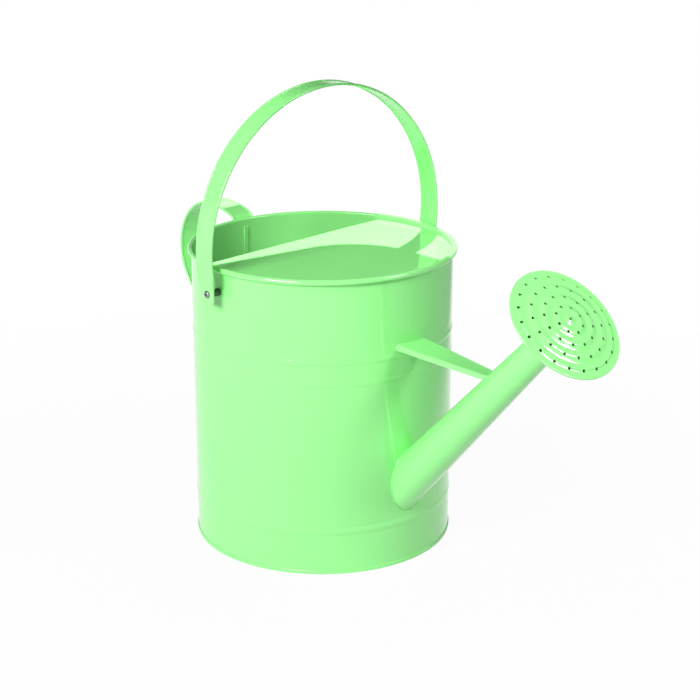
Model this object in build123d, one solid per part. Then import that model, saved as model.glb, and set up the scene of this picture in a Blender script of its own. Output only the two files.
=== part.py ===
from build123d import *
import math
import os

# Watering can of painted sheet steel, in millimetres and degrees.
# The origin is on the body's axis at the floor, +X runs towards the spout and +Z is up.

# Sheet and fits
sheet = 0.6              # body, base, cover, strut and rose are of one sheet
seam_gap = 0.05          # between folded or soldered layers of the same assembly
running_clearance = 0.08 # radial, where one piece turns or slides on another
side_play = 0.3          # along the bail's pivot, each side of the strap

# Body
body_diameter = 220.0
body_height = 253.0      # floor to the top of the rolled rim
rim_roll = 3.5           # diameter of the rolled rim
rim_roll_end = -110.0    # where the roll's free edge stops, measured from +X round its centre
beads = [(37.5, 7.0, 0.5), (165.5, 5.0, 0.35), (184.0, 5.0, 0.5)]  # height, width and rise of each bead
lock_seam_width = 4.0
lock_seam_rise = 0.9     # inwards from the wall
lock_seam_margin = 6.0   # from the rim roll, and from the base plate
back_turn = 2.2          # the seam and the rear handle stand this far round from the spout's plane

# Base
base_recess = 5.0        # the base plate's underside above the floor
base_seam_height = 3.2
base_seam_layers = 1     # sheets in the outer leg of the base seam
base_seam_round = 0.5    # on the outer corners of the base seam

# Cover over the front of the mouth
cover_recess = 4.0       # plate below the rim
cover_chord = 32.5       # straight edge behind the body's axis
cover_turn = 4.6         # the cover is set this far round from square to the spout
cover_fold_end = -60.0   # where the fold round the rim stops
cover_hem = 8.0          # width of the hem along the straight edge

# Handle straps
strap_web = 0.9          # thickness between the rolled edges
strap_roll = 2.2         # diameter of the rolled edges

# Bail
bail_width = 20.5
bail_pivot_drop = 20.5   # pivot below the rim
spacer_length = 10.5     # body wall to strap
spacer_diameter = 6.2
bail_wrap = 12.0         # the arch runs on this far below its own centre
bail_set_radius = 8.0    # bend that brings each end upright
bail_tab_above = 4.5     # flat of the end tab above the pivot
bail_tab_below = 7.5     # and below it
bail_tab_taper = 12.0    # height over which the strap narrows to the tab
bail_tab_corner = 3.0
bail_lean = 0.8          # degrees towards the spout, as it stands

# Blind rivets of the bail
rivet_shank = 4.8
rivet_head = 6.4
rivet_head_height = 1.3
rivet_bulb = 6.6         # set end inside the body
rivet_bulb_length = 5.0
rivet_bore = 2.6
pin_recess = 0.4         # broken stem below the top of the head
pin_head = 4.0

# Rear handle, measured in its own plane through the body's axis
rear_width = 22.0
rear_reach = 87.5        # middle of the strap, out from the body wall
rear_rise = 7.5          # and above the rim
rear_loop_radius = 48.5
rear_top_radius = 100.0  # flatter stretch between the loop and the rim
rear_bend_radius = 5.0   # turn down behind the rim
rear_jog_radius = 4.0    # step in from the rim roll to the wall
rear_jog_height = 8.0
rear_lower_drop = 13.5   # lower corner at the wall, below the bottom of the loop
rear_lower_bend = 7.0
rear_tab = 16.0          # length of the flat end tabs on the wall
rear_tab_corner = 3.0

# Spout
spout_root_height = 74.7 # where its axis meets the body wall
spout_rise = 46.8        # degrees above level
spout_length = 228.0     # along the axis, from the body wall to the tip
spout_root_diameter = 37.3
spout_tip_diameter = 23.0
spout_wall = 0.7

# Strut between the body and the spout
strut_height = 193.5     # top of the strut at the body
strut_fall = 2.3         # degrees, down towards the spout
strut_body_width = 31.0
strut_taper = 0.2        # width lost per millimetre of length
strut_flange = 4.3
strut_fold_radius = 1.2  # outside of the folded edges

# Rose
rose_standoff = 10.0     # edge of the face beyond the spout's tip
rose_diameter = 94.5
rose_dome = 6.8
rose_dome_power = 1.4    # between a cone, 1, and a bowl, 2
rose_ridge_pitch = 10.0
rose_ridge_count = 5     # the centre boss counts as the first
rose_groove = 0.9        # depth between two ridges
rose_hole = 2.0
rose_ring_start = 11.5   # radius of the first ring of holes
rose_ring_pitch = 9.7
rose_ring_count = 4
first_ring_count = 8     # holes in the first ring
ring_added_count = 4     # more holes in each next ring
rose_turn = 2.4
rose_seam_lip = 2.5      # folded lip behind the edge
rose_flange = 3.5        # flat edge of the back, inside the fold
rose_back_depth = 20.0
rose_neck = 4.0          # collar of the back round the sleeve
sleeve_inside = 2.0      # sleeve beyond the spout's tip, inside the rose
sleeve_length = 28.0

# Worked out from the sizes above
body_radius = body_diameter / 2
wall_inside = body_radius - sheet
roll_radius = rim_roll / 2
roll_centre = wall_inside + roll_radius
roll_height = body_height - roll_radius
base_top = base_recess + sheet

pivot_height = body_height - bail_pivot_drop
strap_inner = body_radius + spacer_length
tab_middle = strap_inner + strap_web / 2
shank_radius = rivet_shank / 2
bulb_radius = rivet_bulb / 2
bulb_seat = math.sqrt(wall_inside ** 2 - bulb_radius ** 2) - seam_gap
bulb_end = bulb_seat - rivet_bulb_length
head_seat = strap_inner + strap_web + side_play
head_top = head_seat + rivet_head_height

spout_sin = math.sin(math.radians(spout_rise))
spout_cos = math.cos(math.radians(spout_rise))
spout_direction = Vector(spout_cos, 0, spout_sin)
spout_root = Vector(body_radius, 0, spout_root_height)
spout_tip = spout_root + spout_direction * spout_length
spout_slope = (spout_root_diameter - spout_tip_diameter) / 2 / spout_length
rose_centre = spout_tip + spout_direction * rose_standoff
rose_plane = Plane(origin=rose_centre, x_dir=(0, 1, 0), z_dir=spout_direction)

parts = {}


def polar(centre, radius, angle):
    turn = math.radians(angle)
    return (centre[0] + radius * math.cos(turn), centre[1] + radius * math.sin(turn))


def round_arc(centre, radius, start, end):
    """Arc about a centre, from one angle to another."""
    points = [polar(centre, radius, angle) for angle in (start, (start + end) / 2, end)]
    return ThreePointArc(*points)


def turned(lines, plane=Plane.XZ):
    """Solid of revolution of a closed outline, drawn as radius and height in the plane."""
    return revolve(plane * make_face(Curve() + lines), axis=Axis(plane.origin, plane.y_dir))


def body_cylinder(radius):
    return Pos(0, 0, body_height / 2) * Cylinder(radius, 2 * body_height)


def spout_radius(back):
    """Outer radius of the spout, a given distance back from its tip."""
    return spout_tip_diameter / 2 + spout_slope * back


def spout_cone(front, back, grow):
    """Solid cone along the spout, between two distances back from its tip, larger all round by grow."""
    base = Plane(origin=spout_tip - spout_direction * back, z_dir=spout_direction)
    length = back - front
    low = spout_radius(back) + grow
    high = spout_radius(front) + grow
    return base * Cone(low, high, length, align=(Align.CENTER, Align.CENTER, Align.MIN))


def strap_section(width):
    """Flat strap with a round roll along each edge: width along x, thickness along y."""
    radius = strap_roll / 2
    edge = width / 2 - radius
    return Rectangle(2 * edge, strap_web) + [Pos(side * edge, 0) * Circle(radius) for side in (-1, 1)]


def tab_width(width):
    """Width of the flat strap once both rolls are cut away."""
    return width - 2 * strap_roll


# Body shell

def wall_lines(radius, bottom, top):
    """Upright line at a radius, swelling out at each bead."""
    lines = []
    height = bottom
    for middle, width, rise in beads:
        low = (radius, middle - width / 2)
        high = (radius, middle + width / 2)
        lines.append(Line((radius, height), low))
        lines.append(ThreePointArc(low, (radius + rise, middle), high))
        height = high[1]
    lines.append(Line((radius, height), (radius, top)))
    return lines


def make_body_shell():
    foot = sheet + seam_gap
    centre = (roll_centre, roll_height)
    roll_inside = roll_radius - sheet
    lines = wall_lines(body_radius, foot, roll_height) + wall_lines(wall_inside, foot, roll_height)
    lines.append(Line((wall_inside, foot), (body_radius, foot)))
    lines.append(round_arc(centre, roll_radius, 180, rim_roll_end))
    lines.append(round_arc(centre, roll_inside, 180, rim_roll_end))
    lines.append(Line(polar(centre, roll_radius, rim_roll_end), polar(centre, roll_inside, rim_roll_end)))
    shell = turned(lines)

    seam_low = base_top + lock_seam_margin
    seam_high = roll_height - lock_seam_margin
    buried = wall_inside + sheet / 2
    proud = wall_inside - lock_seam_rise
    seam_lines = wall_lines(buried, seam_low, seam_high) + wall_lines(proud, seam_low, seam_high)
    seam_lines.append(Line((proud, seam_low), (buried, seam_low)))
    seam_lines.append(Line((proud, seam_high), (buried, seam_high)))
    seam_angle = math.degrees(lock_seam_width / wall_inside)
    seam_face = Plane.XZ * make_face(Curve() + seam_lines)
    seam = revolve(seam_face, axis=Axis.Z, revolution_arc=seam_angle)
    seam = Rot(0, 0, 180 - back_turn - seam_angle / 2) * seam

    outlet = spout_cone(spout_length / 2, spout_length + body_radius / 2, -spout_wall)
    pivot_bore = Cylinder(shank_radius + seam_gap, 2 * body_diameter)
    return shell + seam - outlet - Pos(0, 0, pivot_height) * Rot(90, 0, 0) * pivot_bore


# Base pan: plate, wall down to the floor, and an outer leg round the foot of the body

def make_base_pan():
    inside = wall_inside - seam_gap
    leg = body_radius + seam_gap
    outside = leg + base_seam_layers * sheet
    outline = Polyline(
        (0, base_recess), (inside - sheet, base_recess), (inside - sheet, 0), (outside, 0),
        (outside, base_seam_height), (leg, base_seam_height), (leg, sheet), (inside, sheet),
        (inside, base_top), (0, base_top), close=True)
    corners = outline.vertices().group_by(Axis.X)[-1]
    return turned(fillet(corners, base_seam_round).edges())


# Top cover: sunk plate, wall up to the rim and a fold round the rim roll, cut off straight at the chord

def make_top_cover():
    outside = wall_inside - seam_gap
    inside = outside - sheet
    plate_top = body_height - cover_recess
    centre = (roll_centre, roll_height)
    near = roll_radius + seam_gap
    far = near + sheet
    lines = [
        Polyline((inside, roll_height), (inside, plate_top), (0, plate_top), (0, plate_top - sheet),
                 (outside, plate_top - sheet), (outside, roll_height)),
        round_arc(centre, near, 180, cover_fold_end),
        Line(polar(centre, near, cover_fold_end), polar(centre, far, cover_fold_end)),
        round_arc(centre, far, 180, cover_fold_end),
    ]
    cover = turned(lines)
    reach = 2 * body_radius
    block = Box(reach, 2 * reach, reach, align=(Align.MAX, Align.CENTER, Align.CENTER))
    behind = Pos(-cover_chord, 0, body_height) * block

    # The straight edge is folded under: two sheets thick, with a rounded front
    hem_middle = (-cover_chord, plate_top - sheet)
    hem_outline = Curve() + [
        round_arc(hem_middle, sheet, 90, 270),
        Polyline((-cover_chord, plate_top - 2 * sheet), (cover_hem - cover_chord, plate_top - 2 * sheet),
                 (cover_hem - cover_chord, plate_top), (-cover_chord, plate_top)),
    ]
    hem = extrude(Plane.XZ * make_face(hem_outline), amount=body_radius, both=True) & body_cylinder(outside)
    return Rot(0, 0, cover_turn) * (cover - behind + hem)


# Bail: one strap over the top, with flat upright tabs on the pivots

def make_bail():
    wrap = math.radians(bail_wrap)
    radius = (tab_middle + bail_set_radius) / math.cos(wrap) - bail_set_radius
    set_height = pivot_height + bail_tab_above
    set_middle = tab_middle + bail_set_radius
    centre_height = set_height + (radius + bail_set_radius) * math.sin(wrap)
    tab_end = pivot_height - bail_tab_below

    side = Plane.YZ
    right_set = (set_middle, set_height)
    left_set = (-set_middle, set_height)
    path = Curve() + [
        side * Line((-tab_middle, tab_end), (-tab_middle, set_height)),
        side * round_arc(left_set, bail_set_radius, 0, bail_wrap),
        side * round_arc((0, centre_height), radius, 180 + bail_wrap, -bail_wrap),
        side * round_arc(right_set, bail_set_radius, 180 - bail_wrap, 180),
        side * Line((tab_middle, set_height), (tab_middle, tab_end)),
    ]
    start = Plane(origin=(0, -tab_middle, tab_end), x_dir=(1, 0, 0), z_dir=(0, 0, 1))
    bail = sweep(start * strap_section(bail_width), path=path)

    tab = tab_width(bail_width) / 2
    wide = bail_width
    trim = make_face(Polyline(
        (tab, tab_end - wide), (wide, tab_end - wide), (wide, set_height + bail_tab_taper),
        (bail_width / 2, set_height + bail_tab_taper), (tab, set_height), close=True))
    for trim_plane in (Plane.XZ, Plane(origin=(0, 0, 0), x_dir=(-1, 0, 0), z_dir=(0, 1, 0))):
        bail -= extrude(trim_plane * trim, amount=2 * tab_middle, both=True)
    corners = bail.edges().filter_by(Axis.Y).group_by(Axis.Z)[0]
    bail = fillet(corners, bail_tab_corner)
    hole = Cylinder(shank_radius + running_clearance, 4 * tab_middle)
    bail -= Pos(0, 0, pivot_height) * Rot(90, 0, 0) * hole
    return bail.rotate(Axis((0, 0, pivot_height), (0, 1, 0)), bail_lean)


# Pivot hardware on one side, drawn outwards along the pivot's axis

def make_spacer(pivot):
    outwards = (Align.CENTER, Align.CENTER, Align.MIN)
    tube = Cylinder(spacer_diameter / 2, strap_inner - side_play, align=outwards)
    bore = Cylinder(shank_radius + seam_gap, 3 * strap_inner)
    return pivot * (tube - bore) - body_cylinder(body_radius + seam_gap)


def make_rivet(pivot):
    bore = rivet_bore / 2
    head = rivet_head / 2
    bulb_corner = (bore + bulb_radius) / 2
    bulb_middle = (bulb_end + bulb_seat) / 2
    dome_middle = ((3 * head + bore) / 4, head_seat + rivet_head_height * 3 / 4)
    lines = [
        Polyline((bore, head_top), (bore, bulb_end), (bulb_corner, bulb_end)),
        ThreePointArc((bulb_corner, bulb_end), (bulb_radius, bulb_middle), (shank_radius, bulb_seat)),
        Polyline((shank_radius, bulb_seat), (shank_radius, head_seat), (head, head_seat)),
        ThreePointArc((head, head_seat), dome_middle, (bore, head_top)),
    ]
    return turned(lines, pivot_outline(pivot))


def make_rivet_pin(pivot):
    stem = rivet_bore / 2 - seam_gap
    ball = pin_head / 2
    shoulder = bulb_end - seam_gap
    top = head_top - pin_recess
    lines = [
        Polyline((0, shoulder - ball), (0, top), (stem, top), (stem, shoulder), (ball, shoulder)),
        round_arc((0, shoulder), ball, 0, -90),
    ]
    return turned(lines, pivot_outline(pivot))


def pivot_outline(pivot):
    """Drawing plane with radius across the pivot and height out along it."""
    return Plane(origin=pivot.origin, x_dir=pivot.x_dir, z_dir=pivot.x_dir.cross(pivot.z_dir))


# Rear handle, along a path in its own plane: out from the body's axis, and up

def make_rear_handle():
    wall = body_radius + seam_gap + strap_web / 2
    behind_roll = roll_centre + roll_radius + seam_gap + strap_roll / 2
    loop = (body_radius + rear_reach - rear_loop_radius, body_height + rear_rise - rear_loop_radius)

    # Lower leg: from the corner at the wall, along the line that just touches the loop
    corner = (wall, loop[1] - rear_loop_radius - rear_lower_drop)
    across = loop[0] - corner[0]
    up = loop[1] - corner[1]
    away = math.hypot(across, up)
    climb = math.degrees(math.atan2(up, across) - math.asin(rear_loop_radius / away))
    touch = polar(loop, rear_loop_radius, climb - 90)
    lower_end = (wall, corner[1] - rear_tab)

    # Top: a flatter stretch that drops towards the rim, then turns down behind it
    top_centre = (loop[0], loop[1] + rear_loop_radius - rear_top_radius)
    inward = loop[0] - behind_roll - rear_bend_radius
    drop = math.degrees(math.asin(inward / (rear_top_radius - rear_bend_radius)))
    bend_centre = polar(top_centre, rear_top_radius - rear_bend_radius, 90 + drop)
    jog_high = bend_centre[1] - rear_jog_radius
    jog_low = jog_high - rear_jog_height
    upper_end = (wall, jog_low - rear_tab)

    turn = math.radians(back_turn)
    out = Vector(-math.cos(turn), math.sin(turn), 0)
    up_line = Vector(0, 0, 1)
    along_wall = up_line.cross(out)
    side = Plane(origin=(0, 0, 0), x_dir=out, z_dir=out.cross(up_line))
    jog = [(behind_roll, bend_centre[1]), (behind_roll, jog_high), (wall, jog_low), upper_end]
    path = Curve() + [
        side * FilletPolyline(lower_end, corner, touch, radius=rear_lower_bend),
        side * round_arc(loop, rear_loop_radius, climb - 90, 90),
        side * round_arc(top_centre, rear_top_radius, 90, 90 + drop),
        side * round_arc(bend_centre, rear_bend_radius, 90 + drop, 180),
        side * FilletPolyline(*jog, radius=rear_jog_radius),
    ]
    start = Plane(origin=out * wall + up_line * lower_end[1], x_dir=along_wall, z_dir=up_line)
    handle = sweep(start * strap_section(rear_width), path=path)

    # The rolls stop short of both end tabs
    tab = tab_width(rear_width) / 2
    trims = Sketch()
    for low, high in ((lower_end[1], corner[1]), (upper_end[1], jog_high)):
        for edge in (-1, 1):
            trims += make_face(Polyline(
                (edge * tab, low - strap_roll), (edge * rear_width, low - strap_roll),
                (edge * rear_width, high + strap_roll), (edge * rear_width / 2, high + strap_roll),
                (edge * tab, high), close=True))
    across_tabs = Plane(origin=out * wall, x_dir=along_wall, z_dir=out)
    handle -= extrude(across_tabs * trims, amount=2 * strap_roll, both=True)
    ends = [face for face in handle.faces().filter_by(Axis.Z) if face.normal_at().Z < 0]
    corners = [edge for end in ends for edge in end.edges().sort_by(SortBy.LENGTH)[:2]]
    return fillet(corners, rear_tab_corner)


# Spout tube, cut to the curve of the body at its root

def make_spout():
    deep = spout_length + body_radius / 2
    tube = spout_cone(0, deep, 0) - spout_cone(-spout_wall, deep + spout_wall, -spout_wall)
    return tube - body_cylinder(body_radius + seam_gap)


# Strut: a tapered channel, open below, cut to the body and to the spout

def make_strut():
    fall = math.radians(strut_fall)
    along = Vector(math.cos(fall), 0, -math.sin(fall))
    plane = Plane(origin=(body_radius, 0, strut_height), x_dir=along, z_dir=along.cross(Vector(0, 1, 0)))
    spout_x = body_radius + (strut_height - spout_root_height) / math.tan(math.radians(spout_rise))
    length = spout_x - body_radius
    inset = body_radius / 2

    def planform(margin):
        half = strut_body_width / 2 - margin
        narrow = strut_taper / 2
        return make_face(Polyline(
            (-inset, half + narrow * inset), (length, half - narrow * length),
            (length, narrow * length - half), (-inset, -half - narrow * inset), close=True))

    def block(top, margin):
        solid = extrude(top * planform(margin), amount=-strut_flange)
        top_face = solid.faces().sort_by(Axis(top.origin, top.z_dir))[-1]
        folds = top_face.edges().sort_by(SortBy.LENGTH)[-2:]
        return fillet(folds, strut_fold_radius - margin)

    channel = block(plane, 0)
    hollow = block(plane.offset(-sheet), sheet)
    return channel - hollow - body_cylinder(body_radius + seam_gap) - spout_cone(0, spout_length, seam_gap)


# Rose, drawn in its own plane: radius across, height out along the spout's axis

def rose_outline_plane():
    return Plane(origin=rose_centre, x_dir=rose_plane.x_dir, z_dir=rose_plane.x_dir.cross(rose_plane.z_dir))


def make_rose_face():
    near = sheet / 2 + seam_gap
    far = near + sheet
    edge = rose_diameter / 2 - far
    fold = (edge, -far)
    crests = [(ridge * rose_ridge_pitch, 0.0) for ridge in range(rose_ridge_count)]
    grooves = [((ridge + 0.5) * rose_ridge_pitch, rose_groove) for ridge in range(rose_ridge_count - 1)]
    points = [(radius, rose_dome * (1 - (radius / edge) ** rose_dome_power) - depth)
              for radius, depth in sorted(crests + grooves)]
    points.append((edge, 0))
    outside = Spline(*points, tangents=((1, 0), (1, 0)))
    lip = edge - rose_seam_lip
    lines = [
        outside,
        Pos(0, -sheet) * outside,
        round_arc(fold, far, 90, -90),
        round_arc(fold, near, 90, -90),
        Polyline((edge, -2 * far), (lip, -2 * far), (lip, -far - near), (edge, -far - near)),
        Line((0, rose_dome - sheet), (0, rose_dome)),
    ]
    face = turned(lines, rose_outline_plane())
    drill = Cylinder(rose_hole / 2, 4 * rose_dome)
    holes = [Pos(0, 0, rose_dome) * drill]
    for ring in range(rose_ring_count):
        radius = rose_ring_start + ring * rose_ring_pitch
        count = first_ring_count + ring * ring_added_count
        for step in range(count):
            holes.append(Rot(0, 0, 90 + rose_turn + 360 * step / count) * Pos(radius, 0, 0) * drill)
    return face - [rose_plane * hole for hole in holes]


def sleeve_outer(depth):
    """Outer radius of the sleeve, a given depth behind the edge of the face."""
    return spout_radius(depth - rose_standoff) + running_clearance + sheet


def make_rose_back():
    fold_gap = sheet / 2 + seam_gap
    middle = -fold_gap - sheet
    rim = rose_diameter / 2 - fold_gap - sheet
    neck_top = rose_back_depth
    neck_end = rose_back_depth + rose_neck
    inside = Polyline(
        (rim, middle + sheet / 2), (rim - rose_flange, middle + sheet / 2),
        (sleeve_outer(neck_end) + seam_gap, -neck_top), (sleeve_outer(neck_end) + seam_gap, -neck_end))
    outline = offset(inside, amount=sheet, side=Side.LEFT, kind=Kind.INTERSECTION, closed=True)
    return turned(outline.edges(), rose_outline_plane())


def make_rose_sleeve():
    front = rose_standoff - sleeve_inside
    back = front + sleeve_length
    grow = running_clearance
    tube = spout_cone(front - rose_standoff, back - rose_standoff, grow + sheet)
    return tube - spout_cone(front - rose_standoff - sheet, back - rose_standoff + sheet, grow)


parts["body_shell"] = make_body_shell()
parts["base_pan"] = make_base_pan()
parts["top_cover"] = make_top_cover()
parts["bail_handle"] = make_bail()
for name, way in (("left", -1), ("right", 1)):
    pivot = Plane(origin=(0, 0, pivot_height), x_dir=(1, 0, 0), z_dir=(0, way, 0))
    parts[f"bail_spacer_{name}"] = make_spacer(pivot)
    parts[f"bail_rivet_{name}"] = make_rivet(pivot)
    parts[f"bail_rivet_pin_{name}"] = make_rivet_pin(pivot)
parts["rear_handle"] = make_rear_handle()
parts["spout_tube"] = make_spout()
parts["spout_strut"] = make_strut()
parts["rose_face"] = make_rose_face()
parts["rose_back"] = make_rose_back()
parts["rose_sleeve"] = make_rose_sleeve()

os.makedirs("parts", exist_ok=True)
for name, shape in parts.items():
    export_step(shape, f"parts/{name}.step")
    size = shape.bounding_box().size
    print(f"{name}: {len(shape.solids())} solid, {shape.volume:.0f} mm3, "
          f"{size.X:.1f} x {size.Y:.1f} x {size.Z:.1f} mm")
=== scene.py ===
# %% [markdown]
# # A painted steel watering can
#
# The can is made of thin sheet steel, folded and soldered, and then sprayed with a light green enamel.
# Its solids come from CAD, in metres, with the origin under the middle of the base, +X towards the
# spout and +Z up. This lesson gives them their finish, adds the small things that soldering and
# punching leave behind, and lights them as in a white photographic studio.
#
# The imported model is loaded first. Its meshes stay as they are: each node only gets a material.

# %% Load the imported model
import math

import bpy
from mathutils import Matrix, Vector


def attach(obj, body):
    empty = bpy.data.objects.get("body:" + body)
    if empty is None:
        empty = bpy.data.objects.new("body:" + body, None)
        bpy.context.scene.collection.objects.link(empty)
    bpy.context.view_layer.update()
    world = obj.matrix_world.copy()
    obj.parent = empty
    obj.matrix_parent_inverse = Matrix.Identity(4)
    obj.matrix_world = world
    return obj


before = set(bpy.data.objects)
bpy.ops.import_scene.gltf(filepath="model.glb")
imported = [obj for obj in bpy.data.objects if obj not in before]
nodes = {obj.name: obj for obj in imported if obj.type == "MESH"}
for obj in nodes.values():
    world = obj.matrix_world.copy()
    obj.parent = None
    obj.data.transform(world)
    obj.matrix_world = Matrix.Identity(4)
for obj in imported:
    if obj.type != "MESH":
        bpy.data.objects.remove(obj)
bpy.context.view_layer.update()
millimetre = 0.001

# %% [markdown]
# ## The camera
#
# A product photograph like this is taken with a long lens, so that upright sides stay nearly parallel.
# The place of the camera could be set by eye. Here it was worked out from the outlines of the rim and
# the foot, which are circles about one axis, so the solids fall on the photograph without fitting.

# %% Camera
camera_distance = 1.4238    # level, from the can's axis
camera_height = 0.6414
camera_azimuth = -40.559    # degrees round from the spout
camera_pan = 0.9385         # degrees to the right of the can's axis
camera_tilt = -18.739       # degrees up
camera_roll = 0.0728        # degrees
camera_sensor = 36          # millimetres
camera_lens = 90.18         # millimetres


def level_direction(degrees):
    turn = math.radians(degrees)
    return Vector((math.cos(turn), math.sin(turn), 0.0))


def camera_matrix():
    heading = level_direction(camera_azimuth + 180 - camera_pan)
    tilt = math.radians(camera_tilt)
    roll = math.radians(camera_roll)
    ahead = heading * math.cos(tilt) + Vector((0, 0, math.sin(tilt)))
    right = heading.cross(Vector((0, 0, 1)))
    up = right.cross(ahead)
    side = right * math.cos(roll) + up * math.sin(roll)
    top = up * math.cos(roll) - right * math.sin(roll)
    place = level_direction(camera_azimuth) * camera_distance + Vector((0, 0, camera_height))
    matrix = Matrix((side, top, -ahead)).transposed().to_4x4()
    matrix.translation = place
    return matrix


camera = bpy.data.objects.new("camera", bpy.data.cameras.new("camera"))
camera.data.sensor_width = camera_sensor
camera.data.lens = camera_lens
camera.data.dof.use_dof = False
camera.matrix_world = camera_matrix()
bpy.context.scene.collection.objects.link(camera)
bpy.context.scene.camera = camera
print("camera at", [round(value, 3) for value in camera.location])

# %% [markdown]
# ## Helpers for node trees
#
# Shader groups and Geometry Nodes trees are both built from nodes and links. A few short helpers keep
# the cells below readable: one adds a node and sets its inputs, one opens a group with named inputs
# and outputs, and two wrap the sums and ramps that come up again and again.

# %% Node helpers
socket_kinds = {
    "value": "NodeSocketFloat",
    "count": "NodeSocketInt",
    "colour": "NodeSocketColor",
    "geometry": "NodeSocketGeometry",
    "material": "NodeSocketMaterial",
    "object": "NodeSocketObject",
}


def add_node(tree, kind, inputs=(), **settings):
    """Adds a node. Each input is a pair: a socket's name or number, and a value or another socket."""
    node = tree.nodes.new(kind)
    for name, value in settings.items():
        setattr(node, name, value)
    for name, value in inputs:
        if isinstance(value, bpy.types.NodeSocket):
            tree.links.new(value, node.inputs[name])
        else:
            node.inputs[name].default_value = value
    return node


def new_group(name, kind, inputs, outputs):
    """A node group with named sockets, each given as a pair: its name and its kind."""
    group = bpy.data.node_groups.new(name, kind)
    for way, sockets in (("INPUT", inputs), ("OUTPUT", outputs)):
        for label, sort in sockets:
            group.interface.new_socket(label, in_out=way, socket_type=socket_kinds[sort])
    return group, group.nodes.new("NodeGroupInput").outputs, group.nodes.new("NodeGroupOutput").inputs


def maths(tree, operation, first, second=0.0):
    return add_node(tree, "ShaderNodeMath", [(0, first), (1, second)], operation=operation).outputs[0]


def ramp(tree, value, low, high, at_low, at_high):
    """Goes from at_low to at_high as the value goes from low to high, and no further."""
    inputs = [("Value", value), ("From Min", low), ("From Max", high),
              ("To Min", at_low), ("To Max", at_high)]
    return add_node(tree, "ShaderNodeMapRange", inputs).outputs[0]


# %% [markdown]
# ## What the enamel shares
#
# Sprayed enamel on hand-folded sheet isn't perfect. The sheet itself waves a little between its bends,
# which shows only in reflections. The paint has a fine orange-peel skin, its tone drifts where the coat
# is thicker, and a few grains of dust are caught in it. These effects are wanted on every painted
# piece, so they are made once, in two node groups, which each enamel uses with its own values.

# %% Groups for the painted sheet
dust_range = (0.81, 0.86)    # of the noise: only its peaks are dust
dust_tone = 0.96
gloss_patches = 0.06         # change of the roughness from patch to patch


def noise(tree, scale, detail=2.0, rough=0.5, offset=(0.0, 0.0, 0.0)):
    """Noise on the piece's own coordinates, in metres. An offset gives another part of the pattern."""
    place = add_node(tree, "ShaderNodeTexCoord").outputs["Object"]
    moved = add_node(tree, "ShaderNodeMapping", [("Vector", place), ("Location", offset)]).outputs[0]
    inputs = [("Vector", moved), ("Scale", scale), ("Detail", detail), ("Roughness", rough)]
    return add_node(tree, "ShaderNodeTexNoise", inputs).outputs[0]


def swing(tree, pattern, amount):
    """A noise pattern as a change up and down about zero."""
    return maths(tree, "MULTIPLY", maths(tree, "SUBTRACT", pattern, 0.5), amount)


def make_sheet_skin():
    """Height of the surface in millimetres: slow waves of the sheet and the paint's fine skin."""
    inputs = [("Waves", "value"), ("Peel", "value")]
    group, given, result = new_group("sheet_skin", "ShaderNodeTree", inputs, [("Height", "value")])
    slow = noise(group, scale=14.0, detail=1.0)
    fine = noise(group, scale=620.0, detail=1.0, offset=(0.4, 0.1, 0.2))
    waves = maths(group, "MULTIPLY", slow, given["Waves"])
    peel = maths(group, "MULTIPLY", fine, given["Peel"])
    group.links.new(maths(group, "ADD", waves, peel), result["Height"])
    return group


def make_enamel_tone():
    """Colour and roughness of the coat, with drift in the tone and a few specks of dust."""
    inputs = [("Colour", "colour"), ("Drift", "value"), ("Roughness", "value")]
    outputs = [("Colour", "colour"), ("Roughness", "value")]
    group, given, result = new_group("enamel_tone", "ShaderNodeTree", inputs, outputs)
    cloud = noise(group, scale=9.0, detail=3.0, rough=0.6, offset=(0.3, 0.7, 0.1))
    level = maths(group, "ADD", swing(group, cloud, given["Drift"]), 1.0)
    dust = noise(group, scale=320.0, detail=0.0, offset=(0.9, 0.2, 0.6))
    speck = ramp(group, dust, *dust_range, 1.0, dust_tone)
    scale = maths(group, "MULTIPLY", level, speck)
    tone = add_node(group, "ShaderNodeVectorMath", [(0, given["Colour"]), ("Scale", scale)],
                    operation="SCALE")
    group.links.new(tone.outputs[0], result["Colour"])
    patch = swing(group, noise(group, scale=38.0), gloss_patches)
    group.links.new(maths(group, "ADD", given["Roughness"], patch), result["Roughness"])
    return group


sheet_skin = make_sheet_skin()
enamel_tone = make_enamel_tone()
print("groups:", sheet_skin.name, enamel_tone.name)

# %% [markdown]
# ## The green enamel
#
# The paint is a bright, slightly yellowish spring green with a hard gloss. One material for the whole
# can would do, but a folded strap is stiffer than a wide wall, so the pieces differ in how much their
# sheet waves. Each group of pieces therefore has its own copy of the enamel, with its own values.

# %% Enamel materials
enamel_colour = (0.3, 0.88, 0.27, 1)
enamel_drift = 0.06


def new_material(name):
    material = bpy.data.materials.new(name)
    material.use_nodes = True
    return material, material.node_tree, material.node_tree.nodes["Principled BSDF"]


def make_enamel(name, waves, peel=0.003, roughness=0.1):
    """The waves and the peel are heights in millimetres."""
    material, tree, shader = new_material(name)
    coat = [("Colour", enamel_colour), ("Drift", enamel_drift), ("Roughness", roughness)]
    tone = add_node(tree, "ShaderNodeGroup", coat, node_tree=enamel_tone)
    heights = [("Waves", waves), ("Peel", peel)]
    skin = add_node(tree, "ShaderNodeGroup", heights, node_tree=sheet_skin)
    bump = add_node(tree, "ShaderNodeBump", [
        ("Strength", 1.0), ("Distance", millimetre), ("Height", skin.outputs["Height"])])
    tree.links.new(tone.outputs["Colour"], shader.inputs["Base Color"])
    tree.links.new(tone.outputs["Roughness"], shader.inputs["Roughness"])
    tree.links.new(bump.outputs["Normal"], shader.inputs["Normal"])
    shader.inputs["IOR"].default_value = 1.5
    shader.inputs["Coat Weight"].default_value = 0.3
    shader.inputs["Coat Roughness"].default_value = 0.04
    return material


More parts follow.
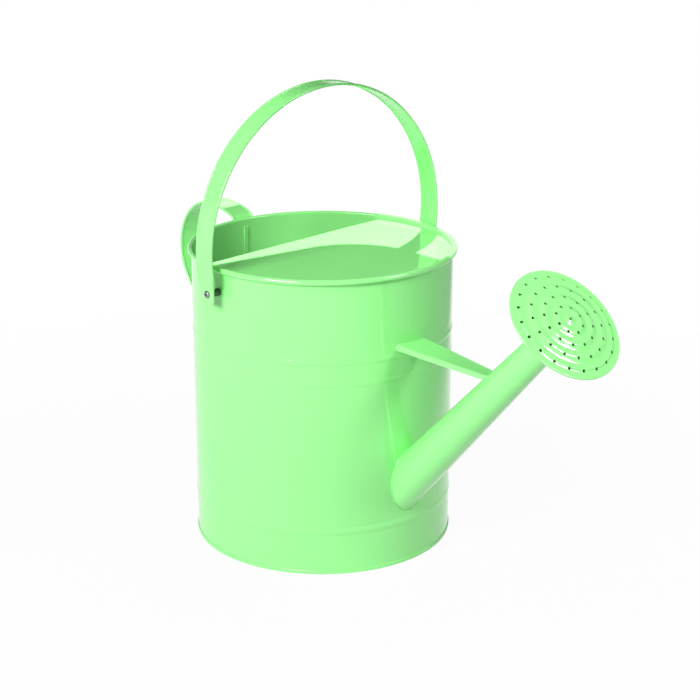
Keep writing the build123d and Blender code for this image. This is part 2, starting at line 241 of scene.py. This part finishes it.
wall_enamel = make_enamel("wall_enamel", waves=0.2)
cover_enamel = make_enamel("cover_enamel", waves=0.15, peel=0.001, roughness=0.06)
strap_enamel = make_enamel("strap_enamel", waves=0.03, peel=0.0006)
spout_enamel = make_enamel("spout_enamel", waves=0.1)
rose_enamel = make_enamel("rose_enamel", waves=0.08)

finish_of = {
    wall_enamel: ["body_shell", "base_pan"],
    cover_enamel: ["top_cover"],
    strap_enamel: ["bail_handle", "rear_handle"],
    spout_enamel: ["spout_tube", "spout_strut"],
    rose_enamel: ["rose_face", "rose_back", "rose_sleeve"],
}
print("enamels:", [material.name for material in finish_of])

# %% [markdown]
# ## Bare metal
#
# The bail turns on blind rivets, set after painting, so they and their spacers are bare. The rivet is
# dull aluminium and its broken stem is darker steel. The punched edges of the rose's holes are bare steel,
# painted nearly black as painted shade that makes the holes look larger and blacker. Bare metal has no
# colour of its own under a gloss: its colour is the colour of its reflection, so Metallic is 1 and the
# roughness varies with the handling.

# %% Bare metal materials
smear_smoother = 0.1       # change of the roughness where the metal is rubbed
smear_rougher = 0.15       # and where it is dull
smear_shade = 0.8          # share of the colour in the darker smears
scratch_depth = 0.05 * millimetre


def make_bare_metal(name, colour, roughness, scratch):
    material, tree, shader = new_material(name)
    grain = noise(tree, scale=900.0, detail=3.0, rough=0.7)
    smear = noise(tree, scale=160.0, offset=(0.2, 0.5, 0.1))
    rough = ramp(tree, smear, 0.0, 1.0, roughness - smear_smoother, roughness + smear_rougher)
    bump = add_node(tree, "ShaderNodeBump", [
        ("Strength", scratch), ("Distance", scratch_depth), ("Height", grain)])
    shade = [smear_shade * part for part in colour[:3]] + [1]
    dull = add_node(tree, "ShaderNodeMix", [("Factor", smear), ("A", shade), ("B", colour)],
                    data_type="RGBA")
    tree.links.new(dull.outputs["Result"], shader.inputs["Base Color"])
    tree.links.new(rough, shader.inputs["Roughness"])
    tree.links.new(bump.outputs["Normal"], shader.inputs["Normal"])
    shader.inputs["Metallic"].default_value = 1.0
    return material


rivet_aluminium = make_bare_metal("rivet_aluminium", (0.34, 0.34, 0.36, 1), roughness=0.45, scratch=0.5)
stem_steel = make_bare_metal("stem_steel", (0.16, 0.16, 0.17, 1), roughness=0.5, scratch=0.8)
# Painted shade: the rims of the rose's holes are near black so that the holes look larger and blacker; only
# part of that is the bare punched edge.
punched_steel = make_bare_metal("punched_steel", (0.02, 0.03, 0.02, 1), roughness=0.6, scratch=0.4)
# The spacers are bare steel, darkened past their own colour as painted shade for the shadow in the gap
# between the strap and the body.
spacer_steel = make_bare_metal("spacer_steel", (0.14, 0.15, 0.14, 1), roughness=0.5, scratch=0.4)
for side in ("left", "right"):
    finish_of.setdefault(rivet_aluminium, []).append(f"bail_rivet_{side}")
    finish_of.setdefault(stem_steel, []).append(f"bail_rivet_pin_{side}")
    finish_of.setdefault(spacer_steel, []).append(f"bail_spacer_{side}")

for material, names in finish_of.items():
    for name in names:
        nodes[name].data.materials.clear()
        nodes[name].data.materials.append(material)
    print(material.name, "on", names)

# %% [markdown]
# ## Pieces from node trees
#
# Solder beads follow the joints and hole rims follow the rose, so both are made by Geometry Nodes: a
# tree holds the rule and its named inputs hold the sizes. The export keeps plain meshes only, so once
# a tree has run its result replaces the object's mesh and the modifier goes.

# %% Run a tree and keep its mesh
def piece_from_tree(name, mesh, tree, settings):
    piece = bpy.data.objects.new(name, mesh)
    bpy.context.scene.collection.objects.link(piece)
    modifier = piece.modifiers.new("shape", "NODES")
    modifier.node_group = tree
    for socket in tree.interface.items_tree:
        if socket.in_out == "INPUT" and socket.name in settings:
            modifier[socket.identifier] = settings[socket.name]
    evaluated = piece.evaluated_get(bpy.context.evaluated_depsgraph_get())
    shaped = bpy.data.meshes.new_from_object(evaluated)
    piece.modifiers.clear()
    piece.data = shaped
    print(name, "has", len(shaped.polygons), "faces")
    return piece


def finish_tree(tree, mesh, finish, result):
    """Every tree here ends alike: plain geometry, smooth shading and its material."""
    whole = add_node(tree, "GeometryNodeRealizeInstances", [("Geometry", mesh)])
    smooth = add_node(tree, "GeometryNodeSetShadeSmooth", [("Geometry", whole.outputs[0])])
    painted = add_node(tree, "GeometryNodeSetMaterial", [
        ("Geometry", smooth.outputs[0]), ("Material", finish)])
    tree.links.new(painted.outputs[0], result)


# %% [markdown]
# ## Where the solder runs
#
# The spout, its strut and the rear handle are soldered to the body before painting, which leaves a small
# rounded bead in each corner. A bead could be drawn by hand along the mesh. Here its line is worked out
# from the shapes that meet: a cone on a cylinder is a quadratic, and a flat strut on either is found by
# halving. Each bead stands a little off the corner, so that it doesn't come through the thin sheet.

# %% Sizes along the joints, in millimetres
body_radius = 110.0
spout_root_height = 74.7
spout_rise = math.radians(46.8)
spout_length = 228.0
spout_root_radius = 18.65
spout_tip_radius = 11.5
strut_height = 193.5
strut_fall = math.radians(2.3)
strut_half_width = 15.5
strut_narrowing = 0.1        # of the half width, per millimetre of length
strut_flange = 4.3
strut_fold = 1.2
rear_turn = math.radians(2.2)
rear_tab_half = 8.8
rear_tab_corner = 3.0
rear_tab_heights = ((134.0, 147.0), (222.7, 237.0))    # end and top of each soldered edge
bead_lift = 0.15

sideways = Vector((0, 1, 0))
upwards = Vector((0, 0, 1))
spout_direction = Vector((math.cos(spout_rise), 0, math.sin(spout_rise)))
spout_tip = Vector((body_radius, 0, spout_root_height)) + spout_direction * spout_length
spout_slope = (spout_root_radius - spout_tip_radius) / spout_length
print("spout tip at", [round(value, 1) for value in spout_tip], "mm")


# %% Surfaces that meet
def body_normal(point):
    return Vector((point.x, point.y, 0)).normalized()


def spout_normal(point):
    across = point - spout_tip
    return (across - spout_direction * across.dot(spout_direction)).normalized()


def outside_body(point):
    return math.hypot(point.x, point.y) - body_radius


def outside_spout(point):
    back = (spout_tip - point).dot(spout_direction)
    centre = spout_tip - spout_direction * back
    return (point - centre).length - spout_tip_radius - spout_slope * back


# %% Points where they meet
halvings = 24


def spout_foot(angle):
    """Where one straight line of the spout's cone meets the body."""
    out = sideways * math.cos(angle) + spout_direction.cross(sideways) * math.sin(angle)
    start = spout_tip + out * spout_tip_radius
    step = out * spout_slope - spout_direction
    square = step.x ** 2 + step.y ** 2
    half = start.x * step.x + start.y * step.y
    rest = start.x ** 2 + start.y ** 2 - body_radius ** 2
    back = (-half - math.sqrt(half ** 2 - square * rest)) / square
    point = start + step * back
    return point + (spout_normal(point) + body_normal(point)) * bead_lift


def strut_at(along, across, drop):
    """Point on the strut's outside: along it from the body, across it as a share, down its flange."""
    half = strut_half_width - strut_narrowing * along
    ahead = Vector((math.cos(strut_fall), 0, -math.sin(strut_fall)))
    down = sideways.cross(ahead)
    root = Vector((body_radius, 0, strut_height))
    return root + ahead * along + sideways * across * half + down * drop


def strut_end(outside, normal, clear, inside, across, drop):
    """Where the strut meets a surface, between a clear place along it and one inside the other piece."""
    for halving in range(halvings):
        middle = (clear + inside) / 2
        if outside(strut_at(middle, across, drop)) > 0:
            clear = middle
        else:
            inside = middle
    point = strut_at(clear, across, drop)
    out = sideways * across if drop else upwards
    return point + (out + normal(point)) * bead_lift


# %% Lines of the beads
foot_steps = 72
strut_steps = 10             # from the middle of the strut to its edge
corner_steps = 6
strut_clear = 20.0           # along the strut, clear of the body and of the spout
strut_in_body = -20.0
strut_in_spout = 110.0


def strut_section():
    """Across the strut's outside, from the edge of one flange to the edge of the other."""
    drops = (strut_flange, (strut_flange + strut_fold) / 2, strut_fold)
    flange = [(-1, drop) for drop in drops]
    top = [(step / strut_steps, 0) for step in range(1 - strut_steps, strut_steps)]
    return flange + top + [(1, drop) for drop in reversed(drops)]


def tab_line(low, high):
    """Round the edge of a soldered tab of the rear handle, against the body."""
    out = Vector((-math.cos(rear_turn), math.sin(rear_turn), 0))
    along = upwards.cross(out)
    half = rear_tab_half + bead_lift
    corner = rear_tab_corner + bead_lift
    bottom = low - bead_lift
    flat = [(half, high), (half, bottom + corner)]
    for step in range(1, corner_steps + 1):
        turn = math.radians(90 * step / corner_steps)
        flat.append((half - corner + corner * math.cos(turn), bottom + corner - corner * math.sin(turn)))
    flat += [(-across, height) for across, height in reversed(flat)]
    clear = out * (body_radius + bead_lift / 2)
    return [clear + along * across + upwards * height for across, height in flat]


spout_line = [spout_foot(2 * math.pi * step / foot_steps) for step in range(foot_steps)]
strut_body_line = [strut_end(outside_body, body_normal, strut_clear, strut_in_body, *place)
                   for place in strut_section()]
strut_spout_line = [strut_end(outside_spout, spout_normal, strut_clear, strut_in_spout, *place)
                    for place in strut_section()]
bead_lines = [(spout_line, True), (strut_body_line, False), (strut_spout_line, False)]
bead_lines += [(tab_line(low, high), False) for low, high in rear_tab_heights]
print("bead lines:", [len(line) for line, closed in bead_lines])

# %% [markdown]
# ## The solder beads
#
# The tree turns each line of edges into a curve with even steps and sweeps a small circle along it. The
# size of the circle swells and shrinks with a noise of a few millimetres, as solder does when it is fed
# by hand. The noise reads only the place, so it is the same every time.

# %% Solder beads
lump_scale = 190.0           # of the noise, per metre


def make_bead_tree():
    inputs = [("Lines", "geometry"), ("Radius", "value"), ("Unevenness", "value"), ("Step", "value"),
              ("Sides", "count"), ("Finish", "material")]
    tree, given, result = new_group("solder_bead", "GeometryNodeTree", inputs, [("Bead", "geometry")])
    tree.is_modifier = True
    curve = add_node(tree, "GeometryNodeMeshToCurve", [("Mesh", given["Lines"])])
    even = add_node(tree, "GeometryNodeResampleCurve", [
        ("Curve", curve.outputs[0]), ("Length", given["Step"])], mode="LENGTH")
    lumps = add_node(tree, "ShaderNodeTexNoise", [("Scale", lump_scale), ("Detail", 1.0)]).outputs[0]
    change = swing(tree, lumps, given["Unevenness"])
    size = maths(tree, "MULTIPLY", maths(tree, "ADD", change, 1.0), given["Radius"])
    ring = add_node(tree, "GeometryNodeCurvePrimitiveCircle", [
        ("Resolution", given["Sides"]), ("Radius", 1.0)])
    bead = add_node(tree, "GeometryNodeCurveToMesh", [
        ("Curve", even.outputs[0]), ("Profile Curve", ring.outputs[0]), ("Scale", size),
        ("Fill Caps", True)])
    finish_tree(tree, bead.outputs[0], given["Finish"], result["Bead"])
    return tree


def line_mesh(name, lines):
    points = []
    edges = []
    for line, closed in lines:
        first = len(points)
        points += [point * millimetre for point in line]
        edges += [(index, index + 1) for index in range(first, len(points) - 1)]
        if closed:
            edges.append((len(points) - 1, first))
    mesh = bpy.data.meshes.new(name)
    mesh.from_pydata(points, edges, [])
    return mesh


bead_settings = {
    "Radius": 0.5 * millimetre,
    "Unevenness": 0.6,
    "Step": 1.2 * millimetre,
    "Sides": 8,
    "Finish": spout_enamel,
}
solder_lines = line_mesh("solder_lines", bead_lines)
solder_beads = piece_from_tree("solder_beads", solder_lines, make_bead_tree(), bead_settings)
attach(solder_beads, "can")

# %% [markdown]
# ## Rims of the rose's holes
#
# A punch leaves a fine raised rim round each hole. The paint pulls back from such a sharp edge, and the
# rims are painted nearly black as painted shade, so the holes look larger, crisp and black. The holes lie
# on rings about a hole in the middle, with four more in each ring than in the one inside it. The tree sets
# small circles on those rings and drops each of their points along the spout's direction onto the
# corrugated face, so the rims lie on it wherever it slopes. Then a thin ring is swept along each circle.

# %% Steps of the rim tree
hole_rings = 4
circle_points = 18
rim_sides = 6
drop_from = 20 * millimetre      # above the rose's edge, clear of its dome
drop_length = 30 * millimetre


def hole_points(tree, given):
    """One point in the middle, and rings of points round it."""
    joined = add_node(tree, "GeometryNodeJoinGeometry")
    middle_point = add_node(tree, "GeometryNodeMeshLine", [("Count", 1)])
    tree.links.new(middle_point.outputs[0], joined.inputs[0])
    for ring in range(hole_rings):
        wider = maths(tree, "MULTIPLY", given["Ring Step"], ring)
        more = maths(tree, "MULTIPLY", given["Added Count"], ring)
        points = add_node(tree, "GeometryNodeMeshCircle", [
            ("Vertices", maths(tree, "ADD", given["First Count"], more)),
            ("Radius", maths(tree, "ADD", given["First Ring"], wider))])
        tree.links.new(points.outputs[0], joined.inputs[0])
    return joined.outputs[0]


def dropped(tree, curves, face, out):
    """The curves' points, moved against the direction out until they lie on the face."""
    target = add_node(tree, "GeometryNodeObjectInfo", [("Object", face)]).outputs["Geometry"]
    here = add_node(tree, "GeometryNodeInputPosition").outputs[0]
    above = add_node(tree, "ShaderNodeVectorMath", [(0, here), (1, out * drop_from)]).outputs[0]
    drop = add_node(tree, "GeometryNodeRaycast", [
        ("Target Geometry", target), ("Source Position", above), ("Ray Direction", -out),
        ("Ray Length", drop_length)])
    laid = add_node(tree, "GeometryNodeSetPosition", [
        ("Geometry", curves), ("Position", drop.outputs["Hit Position"])])
    return laid.outputs[0]


# %% Hole rims
rose_standoff = 10.0
rose_centre = spout_tip + spout_direction * rose_standoff
rose_turn = math.radians(92.4)
rose_place = Matrix((sideways, spout_direction.cross(sideways), spout_direction)).transposed().to_4x4()
rose_place.translation = rose_centre * millimetre


def make_rim_tree(place, turn):
    inputs = [("Lines", "geometry"), ("Face", "object"), ("First Ring", "value"), ("Ring Step", "value"),
              ("First Count", "count"), ("Added Count", "count"), ("Hole", "value"), ("Rim", "value"),
              ("Finish", "material")]
    tree, given, result = new_group("hole_rims", "GeometryNodeTree", inputs, [("Rims", "geometry")])
    tree.is_modifier = True
    turned = add_node(tree, "GeometryNodeTransform", [
        ("Geometry", hole_points(tree, given)), ("Rotation", (0, 0, turn))])
    circle = add_node(tree, "GeometryNodeCurvePrimitiveCircle", [
        ("Resolution", circle_points), ("Radius", maths(tree, "ADD", given["Hole"], given["Rim"]))])
    circles = add_node(tree, "GeometryNodeInstanceOnPoints", [
        ("Points", turned.outputs[0]), ("Instance", circle.outputs[0])])
    whole = add_node(tree, "GeometryNodeRealizeInstances", [("Geometry", circles.outputs[0])])
    placed = add_node(tree, "GeometryNodeTransform", [
        ("Geometry", whole.outputs[0]), ("Translation", place.translation), ("Rotation", place.to_euler())])
    laid = dropped(tree, placed.outputs[0], given["Face"], place.col[2].to_3d())
    section = add_node(tree, "GeometryNodeCurvePrimitiveCircle", [
        ("Resolution", rim_sides), ("Radius", given["Rim"])])
    rims = add_node(tree, "GeometryNodeCurveToMesh", [
        ("Curve", laid), ("Profile Curve", section.outputs[0])])
    finish_tree(tree, rims.outputs[0], given["Finish"], result["Rims"])
    return tree


rim_settings = {
    "Face": nodes["rose_face"],
    "First Ring": 11.5 * millimetre,
    "Ring Step": 9.7 * millimetre,
    "First Count": 8,
    "Added Count": 4,
    "Hole": 1.0 * millimetre,
    "Rim": 0.09 * millimetre,
    # The near-black rims are painted shade round the holes.
    "Finish": punched_steel,
}
empty_mesh = bpy.data.meshes.new("rose_hole_rims")
rim_tree = make_rim_tree(rose_place, rose_turn)
hole_rims = piece_from_tree("rose_hole_rims", empty_mesh, rim_tree, rim_settings)
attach(hole_rims, "rose")

# %% [markdown]
# ## Places in the room
#
# Places in the room are easiest to give as the camera sees them: to the right, away from the camera,
# and up. One function turns such a place into the can's own frame. Another makes a soft square lamp, and
# a third keeps a lamp's light to a few pieces.

# %% Places and lamps
def studio(right, away, up):
    ahead = level_direction(camera_azimuth + 180)
    return ahead.cross(Vector((0, 0, 1))) * right + ahead * away + Vector((0, 0, up))


def light_only(lamp, pieces):
    """The lamp lights only these pieces. All the others still throw their shadows in its light."""
    lit = bpy.data.collections.new(lamp.name + "_lit")
    for piece in pieces:
        lit.objects.link(piece)
    lamp.light_linking.receiver_collection = lit


def add_lamp(name, place, aim, size, power):
    lamp = bpy.data.objects.new(name, bpy.data.lights.new(name, "AREA"))
    lamp.data.size = size
    lamp.data.energy = power
    lamp.location = place
    lamp.rotation_euler = (aim - place).to_track_quat("-Z", "Y").to_euler()
    lamp.visible_camera = False
    bpy.context.scene.collection.objects.link(lamp)
    print(name, [round(value, 2) for value in place], power, "W")
    return lamp


# %% [markdown]
# ## The floor
#
# The floor is white, with a faint shadow round the can. Lamps strong enough to burn it white would burn
# the enamel too. So most of the white is a glow that only the camera and the gloss see, and close to the
# can a little of the lit floor shows through, with the shadow on it. To the gloss the glow is dimmed to the
# right, away from the key: a painted shadow of the can on the floor, which keeps the right side of the wall
# dark.

# %% Floor
floor_half = 12.0
floor_colour = (0.65, 0.66, 0.67, 1)
floor_roughness = 0.6
shadow_reach = (0.2, 0.7)    # from the can's axis
shadow_glow = 0.95           # share of the glow next to the can
# The painted shadow of the can, seen only in the gloss: where it starts and ends to the right, and how much
# glow is left in it.
painted_shadow_reach = (0.3, 0.46)      # to the right of the can's axis
painted_shadow_glow = 0.1


def make_floor_white():
    material, tree, shader = new_material("floor_white")
    material.cycles.emission_sampling = "NONE"    # the glow is only seen, so it isn't sampled as a lamp
    shader.inputs["Base Color"].default_value = floor_colour
    shader.inputs["Roughness"].default_value = floor_roughness
    rays = add_node(tree, "ShaderNodeLightPath").outputs
    place = add_node(tree, "ShaderNodeTexCoord").outputs["Object"]
    right = add_node(tree, "ShaderNodeVectorMath", [(0, place), (1, studio(1, 0, 0))],
                     operation="DOT_PRODUCT")
    # Painted shadow: the glow that the gloss sees dims to the right of the can.
    painted_shadow = ramp(tree, right.outputs["Value"], *painted_shadow_reach, 1.0, painted_shadow_glow)
    mirrored = maths(tree, "MULTIPLY", rays["Is Glossy Ray"], painted_shadow)
    seen = maths(tree, "MAXIMUM", rays["Is Camera Ray"], mirrored)
    away = add_node(tree, "ShaderNodeVectorMath", [(0, place)], operation="LENGTH")
    clear = ramp(tree, away.outputs["Value"], *shadow_reach, shadow_glow, 1.0)
    share = maths(tree, "MULTIPLY", seen, clear)
    glow = add_node(tree, "ShaderNodeEmission", [("Color", (1, 1, 1, 1)), ("Strength", 1.0)])
    mix = add_node(tree, "ShaderNodeMixShader", [
        (0, share), (1, shader.outputs[0]), (2, glow.outputs[0])])
    tree.links.new(mix.outputs[0], tree.nodes["Material Output"].inputs["Surface"])
    return material


def make_floor():
    mesh = bpy.data.meshes.new("floor")
    sides = ((-1, -1), (1, -1), (1, 1), (-1, 1))
    mesh.from_pydata([(x * floor_half, y * floor_half, 0) for x, y in sides], [], [(0, 1, 2, 3)])
    mesh.materials.append(make_floor_white())
    floor = bpy.data.objects.new("floor", mesh)
    bpy.context.scene.collection.objects.link(floor)


make_floor()
print("floor", 2 * floor_half, "m wide")

# %% [markdown]
# ## The room
#
# To the camera the room is white all round. As a light it is weak, so that the lamps shape the can. The
# gloss sees a white backdrop low down and the weak room above it: the level cover mirrors what is above
# the backdrop, and so shows its own green instead of a veil of white.

# %% Room
room_strength = 0.06
backdrop_edge = (0.08, 0.22)    # height of the direction, as the sine of its angle


def make_room():
    world = bpy.data.worlds.new("room")
    world.use_nodes = True
    tree = world.node_tree
    rays = add_node(tree, "ShaderNodeLightPath").outputs
    direction = add_node(tree, "ShaderNodeTexCoord").outputs["Generated"]
    height = add_node(tree, "ShaderNodeSeparateXYZ", [("Vector", direction)]).outputs["Z"]
    mirrored = maths(tree, "MULTIPLY", rays["Is Glossy Ray"], ramp(tree, height, *backdrop_edge, 1.0, 0.0))
    seen = maths(tree, "MAXIMUM", rays["Is Camera Ray"], mirrored)
    background = tree.nodes["Background"]
    background.inputs["Color"].default_value = (1, 1, 1, 1)
    tree.links.new(ramp(tree, seen, 0.0, 1.0, room_strength, 1.0), background.inputs["Strength"])
    bpy.context.scene.world = world


make_room()
print("room strength", room_strength)

# %% [markdown]
# ## The lamps
#
# The photograph was lit with a broad soft light from the front left, the key, and a smaller one from the
# right, the fill, which also shows as soft bands on the rose. The rose takes more of the light from the
# right than the wall behind it, so it has a lamp that lights nothing else. A soft panel behind lights the
# back, which the camera doesn't see.

# %% Lamps
can_middle = Vector((0, 0, 0.15))
key_place = studio(right=-1.15, away=-1.6, up=1.25)
fill_place = studio(right=1.67, away=-0.66, up=1.5)
panel_place = studio(right=0.2, away=2.0, up=0.6)
rose_pieces = [nodes[name] for name in finish_of[rose_enamel]] + [hole_rims]

add_lamp("key", key_place, can_middle, size=1.0, power=57)
add_lamp("fill", fill_place, can_middle, size=0.6, power=17)
rose_light = add_lamp("rose_light", fill_place, rose_place.translation, size=0.7, power=16)
light_only(rose_light, rose_pieces)
back_panel = add_lamp("back_panel", panel_place, can_middle, size=1.6, power=24)
back_panel.visible_glossy = False

# %% [markdown]
# ## The light behind and its cards
#
# A clear light from high behind falls on the cover and the rear handle. The bail's shadow on the cover
# tells where it stands: a line from the leg to its shadow points at the light. It is a small spot far
# away, which draws a crisp shadow, and it lights only those two pieces. A photographer holds such a light
# off with cards. One has a rounded corner, and its shadow is the darker part of the cover; the other
# shades the rear handle next to the rim. Each is laid out by the shadow that it should throw at the
# height of the cover, and then raised along the light's direction. Neither the camera nor the gloss
# sees them.

# %% Back light
back_light_rise = math.radians(56.75)
back_light_direction = studio(0, math.cos(back_light_rise), math.sin(back_light_rise))
back_light_softness = 0.006    # radius of the lamp, as a share of its distance
cover_centre = Vector((0, 0, 0.249))


def add_back_light(distance, beam_radius, power):
    lamp = bpy.data.objects.new("back_light", bpy.data.lights.new("back_light", "SPOT"))
    lamp.data.energy = power
    lamp.data.shadow_soft_size = back_light_softness * distance
    lamp.data.spot_size = 2 * math.atan(beam_radius / distance)
    lamp.data.spot_blend = 0.1
    lamp.location = cover_centre + back_light_direction * distance
    lamp.rotation_euler = back_light_direction.to_track_quat("Z", "Y").to_euler()
    bpy.context.scene.collection.objects.link(lamp)
    light_only(lamp, [nodes["top_cover"], nodes["rear_handle"]])
    print("back light", [round(value, 2) for value in lamp.location], power, "W")


add_back_light(distance=8.0, beam_radius=0.18, power=6600)

# %% Cards
card_lift = 0.25
card_corner_steps = 12


def add_card(name, left, right, near, far, corner, lean=0.0):
    """A level card, by its shadow in metres: a leaning left edge and a rounded corner at its far end."""
    outline = [(right, near), (right, far)]
    for step in range(card_corner_steps + 1):
        turn = math.radians(90 + 90 * step / card_corner_steps)
        outline.append((left + corner * (1 + math.cos(turn)), far + corner * (math.sin(turn) - 1)))
    outline.append((left + lean * (near - far + corner), near))
    raised = back_light_direction * (card_lift / back_light_direction.z) + cover_centre
    mesh = bpy.data.meshes.new(name)
    mesh.from_pydata([Vector((x, y, 0)) + raised for x, y in outline], [], [range(len(outline))])
    card = bpy.data.objects.new(name, mesh)
    mesh.materials.append(new_material(name + "_paper")[0])
    card.visible_camera = False
    card.visible_glossy = False
    bpy.context.scene.collection.objects.link(card)
    print(name, "throws a shadow", round(right - left, 3), "m wide")


add_card("cover_card", left=-0.008, right=0.4, near=-0.3, far=0.047, corner=0.06, lean=0.12)
add_card("mouth_card", left=-0.122, right=-0.038, near=-0.12, far=0.12, corner=0.005)

# %% [markdown]
# ## Finish
#
# The colour transform is the plain one, so a colour renders about as it is written.

# %% Finish
bpy.context.scene.view_settings.view_transform = "Standard"
